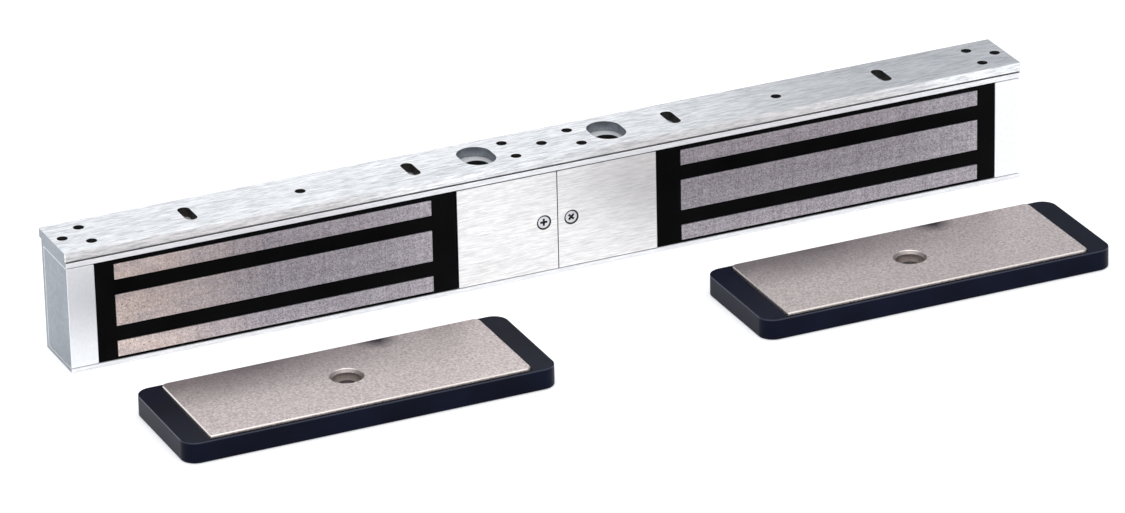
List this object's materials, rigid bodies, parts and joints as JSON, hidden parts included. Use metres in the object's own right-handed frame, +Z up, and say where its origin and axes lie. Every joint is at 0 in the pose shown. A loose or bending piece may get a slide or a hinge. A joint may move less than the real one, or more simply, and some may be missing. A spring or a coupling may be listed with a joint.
{
  "type": "magnetic door lock",
  "caption": "Long surface-mounted electromagnetic lock for a pair of doors, with black-potted magnets, centre wiring covers and separate steel armatures in black trays.",
  "frame": {"origin": "on the surface that the lock body and the armatures stand on, midway along the lock body and midway from the armatures' front edges to the body's back", "axes": "+X along the lock body, left to right when looking at the magnets; -Y the way the magnets face; +Z up, towards the door header"},
  "size_m": [0.5334, 0.161, 0.0651],
  "materials": {
    "brushed_aluminium": "satin, brushed along its length",
    "cover_aluminium": "satin, brushed along its length",
    "end_block_aluminium": "machined, slightly matt",
    "core_steel": "ground pole faces",
    "armature_steel": "ground, fine sparkle",
    "zinc_steel": "zinc plated",
    "copper_winding": "enamelled copper wire",
    "black_resin": "cast epoxy, smooth and dark",
    "tray_plastic": "moulded, satin",
    "circuit_board": "solder mask",
    "terminal_plastic": "moulded",
    "suppressor_coating": "dipped epoxy",
    "lead_insulation": "wire insulation",
    "black_rubber": "plain rubber"
  },
  "bodies": {
    "lock_body": {"mounting_plate": "brushed_aluminium", "housing_channel": "brushed_aluminium", "end_block_left": "end_block_aluminium", "end_block_right": "end_block_aluminium", "body_screw_left": "zinc_steel", "body_screw_right": "zinc_steel", "core_left": "core_steel", "core_right": "core_steel", "coil_left": "copper_winding", "coil_right": "copper_winding", "potting_left": "black_resin", "potting_right": "black_resin", "cover_post_left": "zinc_steel", "cover_post_right": "zinc_steel", "circuit_board_left": "circuit_board", "circuit_board_right": "circuit_board", "terminal_block_left": "terminal_plastic", "terminal_block_right": "terminal_plastic", "surge_suppressor_left": "suppressor_coating", "surge_suppressor_right": "suppressor_coating", "coil_lead_left_a": "lead_insulation", "coil_lead_left_b": "lead_insulation", "coil_lead_right_a": "lead_insulation", "coil_lead_right_b": "lead_insulation", "board_spacer_left_a": "zinc_steel", "board_spacer_left_b": "zinc_steel", "board_spacer_right_a": "zinc_steel", "board_spacer_right_b": "zinc_steel"},
    "cover_left": {"cover_plate_left": "cover_aluminium"},
    "cover_right": {"cover_plate_right": "cover_aluminium"},
    "screw_left": {"cover_screw_left": "zinc_steel"},
    "screw_right": {"cover_screw_right": "zinc_steel"},
    "armature_left": {"armature_tray_left": "tray_plastic", "lower_washer_left": "zinc_steel", "rubber_washer_left": "black_rubber"},
    "armature_right": {"armature_tray_right": "tray_plastic", "lower_washer_right": "zinc_steel", "rubber_washer_right": "black_rubber"},
    "washer_seat_left": {"upper_washer_left": "zinc_steel"},
    "washer_seat_right": {"upper_washer_right": "zinc_steel"},
    "floating_steel_left": {"armature_steel_left": "armature_steel", "guide_pin_left_a": "zinc_steel", "guide_pin_left_b": "zinc_steel"},
    "floating_steel_right": {"armature_steel_right": "armature_steel", "guide_pin_right_a": "zinc_steel", "guide_pin_right_b": "zinc_steel"}
  },
  "joints": [
    {"name": "armature_swing_left", "type": "hinge", "parent": "lock_body", "child": "armature_left", "pos_m": [-0.1554, 0.00673, -0.02278], "axis": [1, 0, 0], "range_deg": [-90, 0]},
    {"name": "armature_swing_right", "type": "hinge", "parent": "lock_body", "child": "armature_right", "pos_m": [0.1554, 0.00673, -0.02278], "axis": [1, 0, 0], "range_deg": [-90, 0]},
    {"name": "steel_press_left", "type": "slide", "parent": "armature_left", "child": "washer_seat_left", "axis": [0, 0, 1], "range_m": [-0.0007, 0], "stiffness_N_per_m": 20000, "springref_m": 0.0008, "deforming": ["rubber_washer_left"]},
    {"name": "steel_press_right", "type": "slide", "parent": "armature_right", "child": "washer_seat_right", "axis": [0, 0, 1], "range_m": [-0.0007, 0], "stiffness_N_per_m": 20000, "springref_m": 0.0008, "deforming": ["rubber_washer_right"]},
    {"name": "steel_tilt_left", "type": "hinge", "parent": "washer_seat_left", "child": "floating_steel_left", "pos_m": [-0.1554, -0.0455, 0.0055], "axis": [1, 0, 0], "range_deg": [-1.2, 1.2], "stiffness_Nm_per_rad": 40},
    {"name": "steel_tilt_right", "type": "hinge", "parent": "washer_seat_right", "child": "floating_steel_right", "pos_m": [0.1554, -0.0455, 0.0055], "axis": [1, 0, 0], "range_deg": [-1.2, 1.2], "stiffness_Nm_per_rad": 40},
    {"name": "cover_lift_left", "type": "slide", "parent": "lock_body", "child": "cover_left", "axis": [0, -1, 0], "range_m": [0, 0.045]},
    {"name": "cover_lift_right", "type": "slide", "parent": "lock_body", "child": "cover_right", "axis": [0, -1, 0], "range_m": [0, 0.045]},
    {"name": "cover_screw_turn_left", "type": "hinge", "parent": "cover_left", "child": "screw_left", "pos_m": [-0.0077, 0.044, 0.02945], "axis": [0, -1, 0], "continuous": true},
    {"name": "cover_screw_turn_right", "type": "hinge", "parent": "cover_right", "child": "screw_right", "pos_m": [0.0077, 0.044, 0.02945], "axis": [0, -1, 0], "continuous": true}
  ]
}
